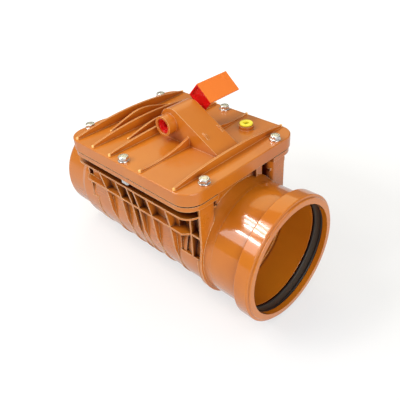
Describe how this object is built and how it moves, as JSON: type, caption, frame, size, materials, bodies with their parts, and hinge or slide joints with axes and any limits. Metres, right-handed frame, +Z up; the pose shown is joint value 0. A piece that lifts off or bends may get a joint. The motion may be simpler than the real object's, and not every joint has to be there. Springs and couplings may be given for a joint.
{
  "type": "backwater valve",
  "caption": "Plastic backwater valve for a drain pipe: socket inlet, spigot outlet, ribbed screwed-down lid, hanging flap inside and a hand lever that locks the flap shut.",
  "frame": {"origin": "centre of the socket's mouth, on the pipe's axis", "axes": "+X out of the inlet socket along the pipe, +Z up through the lid, +Y to the lever's side"},
  "size_m": [0.4143, 0.2168, 0.2815],
  "materials": {
    "pvc_orange": "glossy moulded",
    "lever_red": "glossy moulded",
    "plug_yellow": "satin moulded",
    "flap_grey": "satin moulded",
    "stainless": "polished",
    "rubber_black": "matt"
  },
  "bodies": {
    "valve": {"body": "pvc_orange", "inlet_socket": "pvc_orange", "socket_collar": "pvc_orange", "socket_seal": "rubber_black", "valve_seat": "pvc_orange", "lid": "pvc_orange", "lid_gasket": "rubber_black", "lid_screws": "stainless", "lid_washers": "stainless", "lid_nuts": "stainless", "hinge_pins": "stainless"},
    "flap": {"flap": "flap_grey", "flap_hanger": "flap_grey", "flap_seal": "rubber_black", "flap_clamp_ring": "stainless", "flap_rivets": "stainless"},
    "lever": {"lever_shaft": "lever_red", "shaft_seals": "rubber_black", "lock_arm": "flap_grey", "lever": "lever_red", "lever_pin": "stainless"},
    "plug": {"test_plug": "plug_yellow", "plug_seal": "rubber_black"}
  },
  "joints": [
    {"name": "flap_swing", "type": "hinge", "parent": "valve", "child": "flap", "pos_m": [-0.139, 0, 0.118], "axis": [0, 1, 0], "range_deg": [0, 60]},
    {"name": "lever_turn", "type": "hinge", "parent": "valve", "child": "lever", "pos_m": [-0.2024, 0, 0.1457], "axis": [0, 1, 0], "range_deg": [0, 34]},
    {"name": "plug_lift", "type": "slide", "parent": "valve", "child": "plug", "axis": [0, 0, 1], "range_m": [0, 0.025]}
  ]
}
